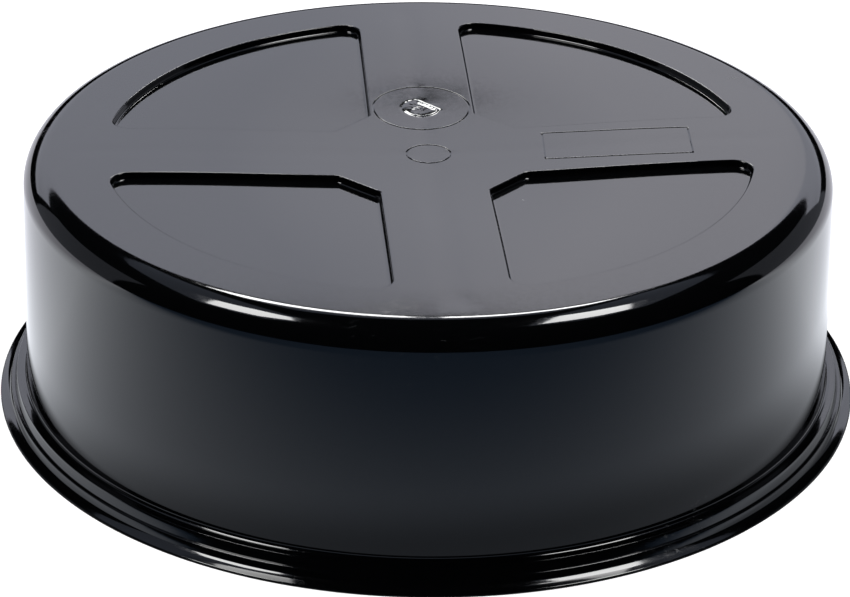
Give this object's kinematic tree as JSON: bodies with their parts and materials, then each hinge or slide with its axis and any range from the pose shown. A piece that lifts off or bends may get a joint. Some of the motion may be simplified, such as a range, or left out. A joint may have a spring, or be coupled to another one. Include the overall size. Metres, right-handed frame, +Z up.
{
  "type": "carburetor hat",
  "caption": "Round one-piece moulded cover with a turned-down flange and a recessed cross top, set over a carburetor to keep dirt and water out.",
  "frame": {"origin": "centre of the flange's resting plane, at the middle of the part's base", "axes": "+Z up out of the closed top; +Y along the arm that holds the gate mark; +X along the arm that holds the bare mould insert"},
  "size_m": [0.2347, 0.2348, 0.0692],
  "materials": {
    "black_plastic": "glossy moulded"
  },
  "bodies": {
    "root": {"hat_shell": "black_plastic"}
  },
  "joints": []
}
